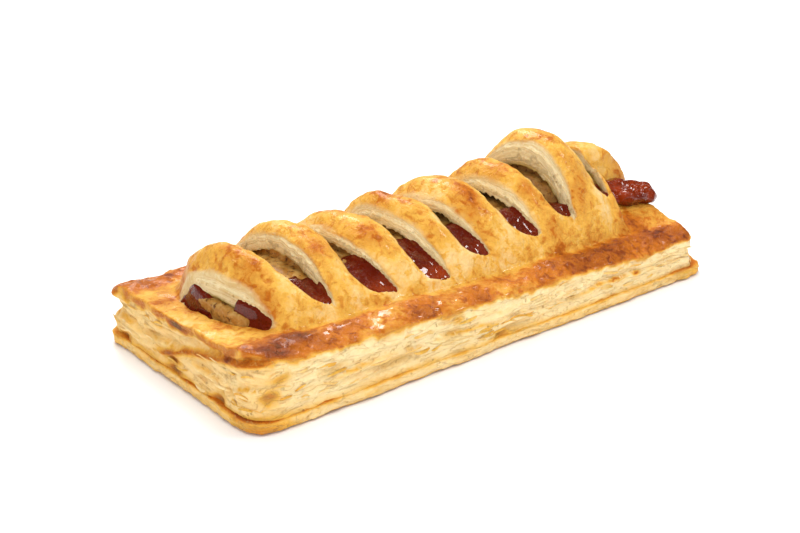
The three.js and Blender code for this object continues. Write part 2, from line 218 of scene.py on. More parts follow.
def border_height(x, y):
    along = unit(x / LENGTH + 0.5)
    across = unit(y / WIDTH + 0.5)
    front = mixed(RIM_FRONT_NEAR, RIM_FRONT_FAR, along)
    back = mixed(RIM_BACK_NEAR, RIM_BACK_FAR, along)
    corner = np.hypot(x + LENGTH / 2, y + WIDTH / 2)
    far_end = END_LIFT * ramp(x, LENGTH / 2 - 25, LENGTH / 2) * (1 - (2 * y / WIDTH) ** 2)
    lifted = mixed(front, back, across) + CORNER_LIFT * bump(corner, CORNER_REACH) + far_end
    return lifted + 0.6 * noise(x / 14, y / 9, 1, 3)


def border(x, y):
    across = unit((np.abs(y) - HUMP_HALF) / (WIDTH / 2 - HUMP_HALF - RIM_INSET))
    ridge = 1.1 * np.sin(np.pi * across) * (1 + 0.6 * noise(x, y, 9, 5))
    return border_height(x, y) + 1.6 * (1 - across) + ridge


def band_place(x, y):
    """The band that a place lies in (-1 before the first), and how far across it the place is."""
    starts = np.stack([far_edge(slit, y) for slit in SLITS])
    ends = np.stack([near_edge(slit, y) for slit in SLITS[1:]] + [np.full_like(y, HUMP_END + 6)])
    band = np.sum(x >= starts, axis=0) - 1
    first = np.maximum(band, 0)
    start = np.take_along_axis(starts, first[None], 0)[0]
    end = np.take_along_axis(ends, first[None], 0)[0]
    return band, (x - start) / (end - start)


def slit_before(x, y):
    """The band that a place lies in, and the numbers of the slit that the band starts at."""
    band, _ = band_place(x, y)
    return band, SLITS[np.maximum(band, 0)].T


def crest(x, y):
    band, across = band_place(x, y)
    near, top, far, at = BANDS[np.maximum(band, 0)].T
    near_side = near - BACK_SLOPE * np.maximum(y, 0)
    rising = mixed(top, near_side, unit(1 - across / at) ** 2.2)
    falling = mixed(top, far, unit((across - at) / (1 - at)) ** 2)
    return np.where(band < 0, BANDS[0][0], np.where(across < at, rising, falling))


def arch(x, y):
    across = unit(np.abs(y) / HUMP_HALF)
    rounding = 0.03 * np.maximum(y - 4, 0) ** 2
    mouth = far_edge(SLITS[0], y) + rounding
    near = ramp(x, mouth - 2 - rounding / 2, mouth - 0.2 + rounding / 2)
    fall = unit((x - HOOD_START) / (HUMP_END - HOOD_START))
    far = (1 - fall ** 2.7) ** 0.65
    collapse = 0.75 * ramp(-y, 3, 9) * ramp(x, HOOD_START, HOOD_START + 4)
    return near * far * (1 - collapse) * (1 - across ** 2.2) ** 0.85


def lid_top(x, y):
    x, y = np.broadcast_arrays(np.asarray(x, float), np.asarray(y, float))
    return border(x, y) + (crest(x, y) - border(x, 0 * y)) * arch(x, y)


def lid_depth(x, y):
    """The lid's thickness, measured straight down, so it grows where the lid slopes."""
    middle = np.zeros_like(x)
    slope = (arch(middle, y + 1) - arch(middle, y - 1)) * 10
    band, slit = slit_before(x, y)
    thicker = THICKER[np.maximum(band, 0)] * (band >= 0) * (1 - ramp(x - slit[0], 6, 14))
    return LID * np.minimum(np.hypot(1, slope), 2) + thicker


def beside_slit(x, y):
    """Distance from the nearest slit's edge, seen from above: below 0 inside the slit."""
    nearest = np.full_like(x, FAR_AWAY)
    for slit in SLITS:
        past_side = np.maximum(near_edge(slit, y) - x, x - far_edge(slit, y))
        past_end = np.maximum(slit[4] - y, y - slit[7])
        nearest = np.minimum(nearest, np.maximum(past_side, past_end))
    return nearest


def torn_edge(x, y):
    """Distance behind the slit's far edge on each band, and how wide the bare edge is there."""
    band, slit = slit_before(x, y)
    beyond = np.where(band < 0, FAR_AWAY, x - far_edge(slit, y))
    along = unit((y - slit[4]) / (slit[7] - slit[4]))
    width = TORN[np.maximum(band, 0)] * unit(np.sin(np.pi * along ** 0.7)) ** 0.6
    return beyond, width * (1 + 0.25 * noise(x, y, 3, 19)) - 0.3


def outline_inset(x, y):
    """How far a place lies inside the bottom sheet's rounded outline."""
    dx = np.abs(x) - (LENGTH / 2 - CORNER)
    dy = np.abs(y) - (WIDTH / 2 - CORNER)
    outside = np.hypot(np.maximum(dx, 0), np.maximum(dy, 0))
    return CORNER - outside - np.minimum(np.maximum(dx, dy), 0)


def rounded_plan(u, v, inset):
    """Maps a square of -1 to 1 onto the roll's rounded outline, `inset` inside it."""
    half_x, half_y = LENGTH / 2 - inset, WIDTH / 2 - inset
    corner = CORNER - inset / 2
    x, y = u * half_x, v * half_y
    dx, dy = np.abs(x) - (half_x - corner), np.abs(y) - (half_y - corner)
    in_corner = (dx > 0) & (dy > 0)
    pull = np.where(in_corner, np.maximum(dx, dy) / np.maximum(np.hypot(dx, dy), 1e-9), 1)
    x = np.where(in_corner, np.sign(x) * (half_x - corner + dx * pull), x)
    y = np.where(in_corner, np.sign(y) * (half_y - corner + dy * pull), y)
    return x, y


# ---- modelling steps

def mode(name):
    bpy.ops.object.mode_set(mode=name)


def start_clean():
    if bpy.context.object and bpy.context.object.mode != "OBJECT":
        mode("OBJECT")
    bpy.ops.object.select_all(action="DESELECT")


def pick(piece):
    start_clean()
    piece.select_set(True)
    bpy.context.view_layer.objects.active = piece


def places(piece):
    """Where a piece's vertices are, in mm."""
    at = np.empty(len(piece.data.vertices) * 3)
    piece.data.vertices.foreach_get("co", at)
    return at.reshape(-1, 3) / MM


def normals(piece):
    out = np.empty(len(piece.data.vertices) * 3, dtype=np.float32)
    piece.data.vertex_normals.foreach_get("vector", out)
    return out.reshape(-1, 3).astype(float)


def place(piece, at):
    piece.data.vertices.foreach_set("co", (np.asarray(at) * MM).ravel())
    piece.data.update()


def surface(piece):
    """The x, y and z of a piece's vertices in mm, and their normals."""
    return *places(piece).T, normals(piece)


def push(piece, distance, lowest=-FAR_AWAY):
    """Moves each vertex along its normal, but not below `lowest`."""
    at = places(piece) + normals(piece) * distance[:, None]
    at[:, 2] = np.maximum(at[:, 2], lowest)
    place(piece, at)


def in_edit(piece, *steps):
    pick(piece)
    mode("EDIT")
    bpy.ops.mesh.select_all(action="SELECT")
    for step in steps:
        step()
    mode("OBJECT")


def face_out():
    bpy.ops.mesh.normals_make_consistent(inside=False)


def slab(name, columns, rows, shape):
    """A closed slab from a grid pulled up: shape(u, v, top) places its vertices."""
    start_clean()
    bpy.ops.mesh.primitive_grid_add(x_subdivisions=columns, y_subdivisions=rows, size=2)
    piece = bpy.context.object
    piece.name = piece.data.name = name
    in_edit(piece, lambda: bpy.ops.mesh.extrude_region_move(
        TRANSFORM_OT_translate={"value": (0, 0, 1)}))
    u, v, level = (places(piece) * MM).T
    place(piece, np.column_stack(shape(u, v, level > 0.5)))
    in_edit(piece, face_out)
    return piece


def ball(name, around, along, shape):
    """A ball pressed into a shape: shape(angle, turn) places its vertices, poles at its ends."""
    start_clean()
    bpy.ops.mesh.primitive_uv_sphere_add(segments=around, ring_count=along, radius=1)
    piece = bpy.context.object
    piece.name = piece.data.name = name
    x, y, z = (places(piece) * MM).T
    angle, turn = np.arctan2(y, x), np.arccos(np.clip(z, -1, 1))
    place(piece, np.column_stack(shape(angle, turn)))
    in_edit(piece, face_out)
    return piece


def finish_modifier(piece, kind, **settings):
    pick(piece)
    modifier = piece.modifiers.new(kind.title(), kind)
    for key, value in settings.items():
        setattr(modifier, key, value)
    bpy.ops.object.modifier_apply(modifier=modifier.name)


def combine(piece, other, operation):
    """Cuts another solid away from a piece, joins it on or keeps what they share."""
    finish_modifier(piece, "BOOLEAN", object=other, operation=operation, solver="MANIFOLD")
    bpy.data.meshes.remove(other.data)
    if not piece.data.polygons:
        raise RuntimeError(f"nothing is left of {piece.name}")


def remesh(piece, voxel):
    finish_modifier(piece, "REMESH", mode="VOXEL", voxel_size=voxel, adaptivity=0.0)


def soften(piece, passes):
    finish_modifier(piece, "SMOOTH", factor=0.5, iterations=passes)


def thin_out(piece, most):
    """Thins a mesh to about `most` triangles, flat places first."""
    triangles = sum(len(face.vertices) - 2 for face in piece.data.polygons)
    if triangles > most:
        finish_modifier(piece, "DECIMATE", ratio=most / triangles, use_collapse_triangulate=True)
    drop_strays(piece)


def drop_strays(piece):
    """Keeps a piece's largest shell and deletes loose crumbs that the remesh left."""
    mesh = piece.data
    count = len(mesh.vertices)
    edges = np.empty(len(mesh.edges) * 2, dtype=np.int64)
    mesh.edges.foreach_get("vertices", edges)
    edges = edges.reshape(-1, 2)
    label = np.arange(count)
    while True:
        low = np.minimum(label[edges[:, 0]], label[edges[:, 1]])
        new = label.copy()
        np.minimum.at(new, edges[:, 0], low)
        np.minimum.at(new, edges[:, 1], low)
        new = new[new]
        if np.array_equal(new, label):
            break
        label = new
    values, sizes = np.unique(label, return_counts=True)
    if len(values) == 1:
        return
    main = values[np.argmax(sizes)]
    pick(piece)
    mode("EDIT")
    bpy.ops.mesh.select_mode(type="VERT")
    bpy.ops.mesh.select_all(action="DESELECT")
    mode("OBJECT")
    mesh.vertices.foreach_set("select", label != main)
    mode("EDIT")
    bpy.ops.mesh.delete(type="VERT")
    mode("OBJECT")


def write_marks(piece, **marks):
    """Stores numbers on a piece's vertices, for its material to read."""
    for name, values in marks.items():
        attribute = piece.data.attributes.new(name, "FLOAT", "POINT")
        column = np.empty(len(piece.data.vertices), dtype=np.float32)
        column[:] = values
        attribute.data.foreach_set("value", column)


def mark_pastry(piece, **marks):
    """Writes every mark that the pastry's material reads, 0 where none is given."""
    names = ("browned", "cut", "side", "hollow", "leaf", "steamed", "glaze", "shine")
    write_marks(piece, **{name: marks.get(name, 0) for name in names})


def hand_over(piece, nodes, material):
    """Shades a piece smoothly, gives it its material, hangs it under the root body and hides the
    imported parts that it replaces.
    """
    pick(piece)
    bpy.ops.object.shade_smooth_by_angle(angle=math.radians(SMOOTH_BELOW))
    piece.data.materials.clear()
    piece.data.materials.append(material)
    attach(piece, "root")
    for node in nodes:
        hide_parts(node)


# ---- materials

class Signal:
    """A socket that can be added, multiplied and so on in plain Python."""

    def __init__(self, recipe, socket):
        self.recipe, self.socket = recipe, socket

    def worked(self, operation, *values, clamp=False):
        return self.recipe.node("Math", {"operation": operation, "use_clamp": clamp},
                                dict(enumerate(values)))

    def __add__(self, other):
        return self.worked("ADD", self, other)

    __radd__ = __add__

    def __sub__(self, other):
        return self.worked("SUBTRACT", self, other)

    def __rsub__(self, other):
        return self.worked("SUBTRACT", other, self)

    def __mul__(self, other):
        return self.worked("MULTIPLY", self, other)

    __rmul__ = __mul__

    def size(self):
        return self.worked("ABSOLUTE", self)

    def between(self, low, high):
        """0 below `low`, 1 above `high` and smooth between them."""
        return self.recipe.node("MapRange", {"interpolation_type": "SMOOTHSTEP"},
                                {"Value": self, "From Min": low, "From Max": high})

    def clamped(self):
        return self.worked("ADD", self, 0.0, clamp=True)


MIX_SHARE, MIX_FROM, MIX_TO, MIX_RESULT = 0, 6, 7, 2  # a colour mix's own sockets
LEAF_GAP, LEAF_EDGE = tone("cda562"), tone("f6e8c4")
# MEAT_SHADE is painted shade for meat deep in the slits; SAUCE_SHADE and FLOOR_SHADE are darker
# tones for random specks and clouds
MEAT_SHADE, SAUCE_SHADE, FLOOR_SHADE = tone("5a3413"), tone("2c0502"), tone("f2f2f2")


class Recipe:
    """A node material under construction."""

    def __init__(self, name):
        self.material = bpy.data.materials.new(name)
        self.material.use_nodes = True
        self.tree = self.material.node_tree
        self.tree.nodes.clear()
        self.where = self.node("TexCoord", {}, {}, "Object")

    def node(self, kind, settings, inputs, output=0):
        node = self.tree.nodes.new("ShaderNode" + kind)
        stops = settings.pop("stops", None)
        for key, value in settings.items():
            setattr(node, key, value)
        if stops:
            elements = node.color_ramp.elements
            for place_at, colour in stops[1:-1]:
                elements.new(place_at).color = (*colour, 1)
            for element, (place_at, colour) in zip(elements, stops):
                element.position, element.color = place_at, (*colour, 1)
        for key, value in inputs.items():
            socket = node.inputs[key]
            if isinstance(value, Signal):
                self.tree.links.new(value.socket, socket)
            elif socket.type == "RGBA":
                socket.default_value = (*value, 1)
            else:
                socket.default_value = value
        return Signal(self, node.outputs[output])

    def mark(self, name):
        return self.node("Attribute", {"attribute_name": name}, {}, "Fac")

    def stretched(self, x, y, z):
        return self.node("VectorMath", {"operation": "MULTIPLY"}, {0: self.where, 1: (x, y, z)})

    def grain(self, size, detail=3.0, roughness=0.55, at=None, distortion=0.0):
        """Noise of 0 to 1 with features of about `size` metres, or of 1 where `at` is stretched."""
        return self.node("TexNoise", {}, {
            "Vector": at or self.where, "Scale": 1 / size, "Detail": detail,
            "Roughness": roughness, "Distortion": distortion}, "Fac")

    def cells(self, size):
        return self.node("TexVoronoi", {}, {"Vector": self.where, "Scale": 1 / size}, "Distance")

    def mix(self, share, a, b):
        inputs = {MIX_SHARE: share, MIX_FROM: a, MIX_TO: b}
        return self.node("Mix", {"data_type": "RGBA"}, inputs, MIX_RESULT)

    def bumped(self, height, distance, strength):
        return self.node("Bump", {}, {"Height": height, "Distance": distance, "Strength": strength})

    def finish(self, sockets):
        shader = self.node("BsdfPrincipled", {}, sockets)
        output = self.tree.nodes.new("ShaderNodeOutputMaterial")
        self.tree.links.new(shader.socket, output.inputs["Surface"])
        return self.material


def pastry_material(name, look):
    """Baked puff pastry: marks on the vertices say how browned, cut or hollow each place is."""
    make = Recipe(name)
    browned, cut, hollow = make.mark("browned"), make.mark("cut"), make.mark("hollow")
    leaf, glaze, steamed, side = (make.mark(m) for m in ("leaf", "glaze", "steamed", "side"))
    shine = make.mark("shine")
    clouds = make.grain(0.009, 3.0, 0.5)
    blotches = make.grain(0.003, 4.0, 0.62, distortion=0.6)
    freckles = make.grain(0.0013, 4.0, 0.65)
    amount = browned + glaze * ((clouds - 0.5) * 0.3 + blotches.between(0.47, 0.66) * 0.17 - 0.07
                                + (freckles - 0.5) * 0.24)
    amount = amount + (1 - glaze) * ((blotches - 0.5) * 0.14 + (freckles - 0.5) * 0.1)
    colour = make.node("ValToRGB", {"stops": [
        (0.0, look.cream), (0.3, look.golden), (0.56, look.amber), (0.8, look.russet),
        (1.0, look.scorched)]}, {"Fac": amount.clamped()})
    # fine leaves: streaks and hair cracks along the sides, lines that follow the lid on cut faces
    streaks = make.grain(1.0, 4.0, 0.6, make.stretched(110, 110, 420), 1.6)
    seams = make.grain(1.0, 3.0, 0.5, make.stretched(60, 60, 260), 2.2)
    crack = (1 - (seams - 0.5).size().between(0.0, 0.016)) * side
    sliced = make.node("CombineXYZ", {}, {
        "X": leaf * 2.3, "Y": make.grain(0.02, 2.0) * 2.5, "Z": make.grain(0.006, 2.0) * 0.8})
    slices = make.grain(1.0, 3.0, 0.7, sliced)
    tint = make.mix(side * streaks.between(0.52, 0.75) * 0.4, colour, look.golden)
    tint = make.mix(side * streaks.between(0.47, 0.28) * 0.35, tint, look.toasted)
    tint = make.mix(crack * 0.5, tint, look.toasted)
    # painted shade: pits and cavities on the sides are darkened towards the Hollow colour
    tint = make.mix(hollow * 0.6, tint, look.hollow)
    cut_tone = make.mix(slices.between(0.4, 0.66) * 0.7, look.cut_leaf, LEAF_GAP)
    cut_tone = make.mix(freckles.between(0.5, 0.7) * 0.35, cut_tone, LEAF_EDGE)
    tint = make.mix(cut, tint, cut_tone)
    # partly real, partly painted shade: the lid's underside gets the unbrowned pastry's colour
    # darkened to olive as if in shadow
    tint = make.mix(steamed, tint, look.steamed)
    # painted shade: small pores off the glaze are sunk and darkened towards the Hollow colour
    pores = make.cells(0.0019)
    shaded_pores = pores.between(0.2, 0.1) * (1 - glaze) * make.grain(0.005).between(0.48, 0.62)
    tint = make.mix(shaded_pores * 0.5, tint, look.hollow)
    fine = make.grain(0.0009, 4.0, 0.62)
    wrinkles = make.grain(0.0024, 4.0, 0.6, distortion=1.2)
    height = (fine * 0.35 + wrinkles * (0.7 + glaze * 0.5) + side * (streaks * 0.6 - crack * 0.25)
              + cut * slices * 0.9 - shaded_pores * 0.6)
    return make.finish({
        "Base Color": tint,
        "Roughness": 0.58 - glaze * 0.12 + (freckles - 0.5) * 0.2,
        "Coat Weight": glaze * 0.12 + shine * 0.6,
        "Coat Roughness": 0.12,
        "Specular IOR Level": 0.2,
        "Subsurface Weight": 0.1,
        "Subsurface Radius": (1.0, 0.55, 0.25),
        "Subsurface Scale": 0.0012,
        "Normal": make.bumped(height, 0.0007, 0.9),
    })


def meat_material(name, look):
    make = Recipe(name)
    grains = make.cells(0.0017)
    mince = make.grain(0.0024, 4.0, 0.65)
    colour = make.mix(mince.between(0.42, 0.62), look.meat_colour, look.meat_pale)
    colour = make.mix(make.grain(0.0013, 3.0).between(0.54, 0.66), colour, look.meat_dark)
    colour = make.mix(grains.between(0.2, 0.08) * 0.5, colour, look.meat_pale)
    colour = make.mix(make.grain(0.012, 2.0).between(0.45, 0.7) * 0.35, colour, look.meat_dark)
    # painted shade: the meat under the hood and deep in the slits is darkened
    colour = make.mix(make.mark("shaded") * 0.6, colour, MEAT_SHADE)
    height = mince + (1 - grains) * 0.6
    return make.finish({
        "Base Color": colour,
        "Roughness": 0.42 + (mince - 0.5) * 0.3,
        "Coat Weight": 0.25,
        "Coat Roughness": 0.25,
        "Normal": make.bumped(height, 0.0005, 0.8),
    })


def sauce_material(name, look):
    make = Recipe(name)
    thin = make.mark("thinness")
    swirl = make.grain(0.005, 3.0)
    thinned = (thin * 0.9 + (swirl - 0.5) * 0.35).clamped()
    colour = make.mix(thinned, look.sauce_colour, look.sauce_thin)
    colour = make.mix(make.grain(0.0012, 2.0).between(0.6, 0.7) * 0.3, colour, SAUCE_SHADE)
    height = make.grain(0.0028, 3.0, 0.5) + make.grain(0.001, 2.0) * 0.25
    return make.finish({
        "Base Color": colour,
        "Roughness": 0.22 + swirl * 0.1,
        "Coat Weight": 0.7,
        "Coat Roughness": 0.04,
        "Specular IOR Level": 0.25,
        "Normal": make.bumped(height, 0.0019, 1.0),
    })


def floor_material(look):
    make = Recipe("plain_floor")
    shade = make.mix(make.grain(0.35, 2.0) * 0.04, look.floor_colour, FLOOR_SHADE)
    return make.finish({"Base Color": shade, "Roughness": 0.7})


# ---- relief and marks of the crust

# well browned places on the lid: x, y, radius and strength
LID_SPOTS = (
    (66.8, -22.4, 7, 0.3), (-77.2, -33, 6, 0.26), (-65, -29.6, 6, 0.24),
    (-46.8, -12.1, 3.4, 0.2), (-30.4, -9.3, 3.2, 0.22), (-15, 3, 4, 0.16),
    (7, -13.8, 3.4, 0.2), (8.5, -9, 3, 0.14), (4.9, -19.2, 2.6, 0.16),
    (46.2, -14.5, 4.2, 0.15), (39.3, -5.7, 5, 0.14), (29.7, -13.2, 2.4, 0.14),
    (23.7, -2.1, 4.5, 0.14), (-67.7, -11.7, 3, 0.1), (-68.3, -17.7, 2.6, 0.14),
    (-72.3, 11.5, 4, 0.12), (32.4, -24, 5.5, 0.12), (43.5, -23.4, 6, 0.1),
    (-76.1, 26.7, 8, 0.12), (-76.4, 12.6, 6, 0.16), (-75.3, 1.6, 4, 0.16),
    (-73.1, -9.6, 4, 0.18), (-71, -18.4, 4, 0.16),
)
# scabs, pits and cavities in the sides: x, y, z, radius along, radius up, depth and browning
SIDE_MARKS = (
    (-83.5, 0.5, 17, 3.5, 1.4, 0.5, 0.55), (-83.5, 0.9, 7.4, 3.2, 1.6, 0.5, 0.5),
    (-83.5, 27.2, 4.2, 2.4, 0.9, 1, 0.45), (-83.5, 1.1, 4.2, 3, 0.9, 1.2, 0.5),
    (-83.5, -20.7, 4.2, 2.6, 1, 1.3, 0.5), (-83.5, -22.6, 7, 2.2, 1.3, 1.1, 0.12),
    (-83.5, -27, 9, 1.7, 1.2, 0.9, 0.1), (-84, 12, 10, 3, 1.5, 0.7, 0.05),
    (-40, -36.5, 7.6, 7, 1.8, 1.2, 0.1), (-21, -36.5, 9.1, 4.5, 1.3, 0.9, 0.08),
    (1.2, -36.5, 5.4, 5, 1.2, 1, 0.1), (-18.2, -36.5, 12.8, 1.6, 0.8, 0.4, 0.4),
    (-2.5, -36.5, 4.4, 2.6, 0.8, 0.6, 0.35), (-35.9, -36.5, 10.1, 1.2, 0.8, 0.6, 0.15),
    (-79.2, -36.5, 9.6, 2.2, 1.6, 1.2, 0.45), (-76, -36.5, 13.8, 2.2, 1.2, 0.6, 0.35),
    (-60, -36.5, 11, 5, 1.2, 0.8, 0.06), (26, -36.5, 6.8, 4, 1, 0.8, 0.1),
    (20, 36.5, 8, 6, 1.4, 1, 0.1), (-30, 36.5, 9, 5, 1.5, 1, 0.2),
    (58, 36.5, 6, 4, 1.1, 0.9, 0.3), (-62, 36.5, 8, 4, 1.4, 1, 0.1),
    (84, 10, 7, 4, 1.3, 1, 0.15), (84, -14, 8.5, 3, 1.1, 0.9, 0.1),
)


def side_share(x, y, z):
    """How high a place on the side is: 0 at the crease between the sheets, 1 at the rim."""
    return unit((z - SHEET) / (border_height(x, y) - SHEET))


def side_marks(x, y, z):
    """Depth and browning of the scabs and cavities at a place."""
    depth, brown = np.zeros_like(x), np.zeros_like(x)
    ragged = 1 + 0.25 * noise(x, y, 2, 71, z)
    for mx, my, mz, along, up, deep, dark in SIDE_MARKS:
        spread = np.hypot(np.hypot(x - mx, y - my) / along, (z - mz) / up) * ragged
        depth += deep * np.exp(-spread ** 2.5)
        brown += dark * np.exp(-spread ** 2)
    return depth, brown


def strata(x, y, z):
    """Leaves of the sides: how far each place stands out, about -1 to 1."""
    share = side_share(x, y, z)
    near = ramp(-x, 20, 80)
    level = share * mixed(3.4, 5.0, near) + 1.1 * noise(x / 20, y / 20, 1, 61, z / 25)
    level = level + 0.4 * noise(x / 6, y / 6, 1, 62, z / 8)
    leaf = np.floor(level)
    part = level - leaf
    strength = (0.5 + 0.45 * noise(x / 13, y / 13, 1, 63, leaf * 3.7)) * mixed(0.75, 1.0, near)
    edge = 1 - np.abs(2 * part - 1) ** 1.6
    return strength * (edge * 1.4 - 0.7) + 0.35 * rough_noise(x / 5, y / 5, z / 3, 64)


SIDE_PROFILE = np.array([(0.0, 1.1), (0.1, 1.6), (0.2, 1.7), (0.32, 2.3), (0.45, 1.3), (0.52, 1.5),
                         (0.6, 2.5), (0.74, 2.0), (0.84, 2.7), (0.94, 2.2), (1.0, 2.7)])


def fold_height(x, y):
    """How high the wavering fold along the sides lies, as a share of their height."""
    return 0.42 + 0.1 * noise(x, y, 22, 72) + 0.04 * noise(x, y, 6, 73)


def near_end_wedge(x, y, z):
    """The near end, where the lid's sheet has lifted off the one below it: (stand-out, browning).

    A brown ledge falls from the rim at the front corner to half way along the end."""
    end = ramp(-x, 78, 81)
    reach = ramp(-y, -12, -3)
    ledge = np.interp(y, (-36, -20, -4, 6), (18.6, 15.0, 10.8, 7.0))
    rim = border_height(x, y)
    middle = (ledge + rim) / 2
    opening = np.maximum((rim - ledge) / 2 - 0.6, 0.2)
    recess = bump(z - middle, opening) * reach * end
    lip = bump(z - ledge - 0.4, 0.9) * reach * end
    return 1.1 * lip - 1.5 * recess, 0.5 * bump(z - ledge - 0.5, 0.9) * reach * end


def crust_zones(x, y, z, normal):
    """Shares of each vertex that belong to the lid, the sides, the cut faces and the inside.

    With them comes how far the vertex lies below the lid's top."""
    below = lid_top(x, y) - z
    inset = outline_inset(x, y) - FAR_INSET * ramp(x, 78, 84)
    beside = beside_slit(x, y)
    depth = lid_depth(x, y)
    # hidden is the lid's underside, which the material paints unbrowned and darkened with painted
    # shade
    hidden = ramp(below, depth * 0.62, depth * 0.92) * ramp(inset, 8, 12)
    sideways = np.hypot(normal[:, 0], normal[:, 1])
    side = ramp(6.5 - inset, 0, 2) * ramp(sideways, 0.35, 0.75)
    side = side * ramp(below, -0.5, 1.0)
    beyond, worn = torn_edge(x, y)
    torn = ramp(worn - beyond, 0, 0.5)
    under_edge = np.maximum(below, lid_top(x + 0.6, y) - z)
    sliced = ramp(1.7 - beside, 0, 0.6) * ramp(under_edge, 0.5, 1.3)
    cut = np.maximum(sliced, torn) * (1 - side)
    lid = (1 - side) * (1 - cut) * (1 - hidden) * ramp(normal[:, 2], -0.1, 0.35)
    return lid, side, cut, hidden, below


def crust_relief(x, y, z, normal, look):
    """How far each vertex moves along its normal, in mm."""
    lid, side, cut, hidden, below = crust_zones(x, y, z, normal)
    share = side_share(x, y, z)
    far_end = ramp(x, 74, 82)
    profile = WALL_INSET - np.interp(share, *SIDE_PROFILE.T)
    depth, _ = side_marks(x, y, z)
    wedge, _ = near_end_wedge(x, y, z)
    leaf = strata(x, y, z) * look.leaf_relief / MM
    turned = bump(share - 0.93, 0.12) - 1.3 * bump(share - 0.62, 0.16)
    ear = 2.2 * bump(np.hypot(x + 86, y - 37), 7) * turned
    past = share - fold_height(x, y)
    folded = 0.7 * ramp(past, 0.02, -0.06) - 0.7 * bump(past - 0.05, 0.04)
    leaf = leaf + folded * ramp(share, 0.1, 0.3)
    notch = 0.9 * bump(share - 0.9, 0.14) - 2.0 * bump(share - 0.4, 0.2)
    notch = far_end * notch * ramp(-y, 5, 30)
    outward = profile * 0.8 + leaf * (1 - 0.4 * far_end) - depth + wedge + ear + notch
    swell = 0.5 * rough_noise(x / 8, y / 8, z / 8, 31) + 0.2 * noise(x, y, 2.2, 33, z)
    blister = np.maximum(noise(x, y, 1.9, 35, z) - 0.2, 0) * look.blister_relief / MM * 2.4
    blister += np.maximum(noise(x, y, 1.1, 36, z) - 0.2, 0) * look.blister_relief / MM
    ridge = ramp(np.abs(y), 25, 29)
    upward = swell + blister * mixed(0.35, 1.0, ridge)
    leaves = 0.16 * noise(x / 6, y / 6, 1, 37, below * 1.6)
    beyond, worn = torn_edge(x, y)
    rounding = 1.1 * (1 - unit(beyond / np.maximum(worn + 0.6, 0.3))) ** 2
    leaves -= rounding * ramp(worn, 0, 0.8) * ramp(normal[:, 2], 0.1, 0.5)
    inner = 0.3 * noise(x, y, 4, 39, z)
    return side * outward + lid * upward + cut * leaves + hidden * inner


def crust_browning(x, y, z, side):
    """How browned each vertex is, 0 to 1: first the lid and border, then the sides."""
    share = side_share(x, y, z)
    _, across = band_place(x, y)
    on_band = arch(x, y)
    edge_y = np.abs(y)
    front = ramp(-y, 0, 10)
    wavering = 1.3 * noise(x, y, 4, 86) + 0.6 * noise(x, y, 1.6, 84)
    ridge = ramp(edge_y + wavering, 23.5, 29.5)
    baked = 0.34 + 0.28 * ridge * (1 + 0.3 * noise(x / 9, y / 6, 1, 82))
    baked += 0.11 * ramp(x, -10, 50) * ridge * front
    baked -= 0.04 * bump(edge_y - 22, 3.2) * ramp(x, -70, -60)
    baked += 0.1 * bump(across - 0.42, 0.22) * on_band
    baked -= 0.07 * ramp(across, 0.62, 0.95) * on_band
    baked += 0.14 * rough_noise(x / 6, y / 6, z / 6, 83)
    baked = mixed(baked, np.maximum(baked, 0.5), ramp(x, 70, 78))
    near_border = ramp(-x, 72, 78) * ramp(y, -32, -26)
    baked = mixed(baked, np.minimum(baked, 0.57), near_border)
    ragged = 1 + 0.3 * noise(x, y, 2.5, 85)
    for sx, sy, radius, strength in LID_SPOTS:
        baked += strength * bump(np.hypot(x - sx, y - sy) * ragged, radius)
    _, scab = side_marks(x, y, z)
    _, ledge = near_end_wedge(x, y, z)
    run = share + 0.09 * noise(x, y, 3, 87) + 0.05 * noise(x, y, 1.2, 88)
    drips = ramp(run, 0.84, 1.0)
    flank = 0.05 + 0.1 * ramp(-x, 70, 80) + 0.42 * drips + 0.2 * bump(share, 0.07)
    flank += scab + ledge + 0.05 * rough_noise(x / 7, y / 7, z / 2, 89)
    crease = ramp(noise(x, y, 15, 74), -0.5, 0.3)
    crease = crease * (1 - 0.7 * ramp(-x, 74, 82))
    flank += 0.22 * bump(share - fold_height(x, y), 0.035) * crease
    return unit(mixed(baked, flank, side))


def shine_of(x, y, lid):
    """Where the egg wash dried into a gloss: mostly along the front border."""
    ridge = ramp(-y, 23, 27) * ramp(x, -66, -56) * (1 - 0.8 * ramp(x, 10, 40))
    patches = ramp(rough_noise(x / 5, y / 5, 0.0, 121), -0.1, 0.4)
    return unit((0.12 + 0.88 * ridge) * patches) * lid


# ---- the pieces

def slit_tool(slit, grow):
    """The wedge of air over a slit, which follows the lid down to its foot at both tips."""
    def shape(u, v, top):
        turn = np.pi * (v + 1) / 2
        y = mixed(slit[4], slit[7], 0.5 - 0.5 * np.cos(turn)) + grow * v
        near, far = near_edge(slit, y), far_edge(slit, y)
        heights = np.stack([lid_top(near, y), lid_top(far, y), lid_top(far + 0.1, y)])
        depth = mixed(lid_depth(near, y) + 3.0, LID, np.abs(np.cos(turn)) ** 8)
        x = mixed(near - grow, far + grow, (u + 1) / 2)
        return x, y, np.where(top, heights.max(axis=0) + 6, heights.min(axis=0) - depth)
    return slab("slit_tool", 6, 90, shape)


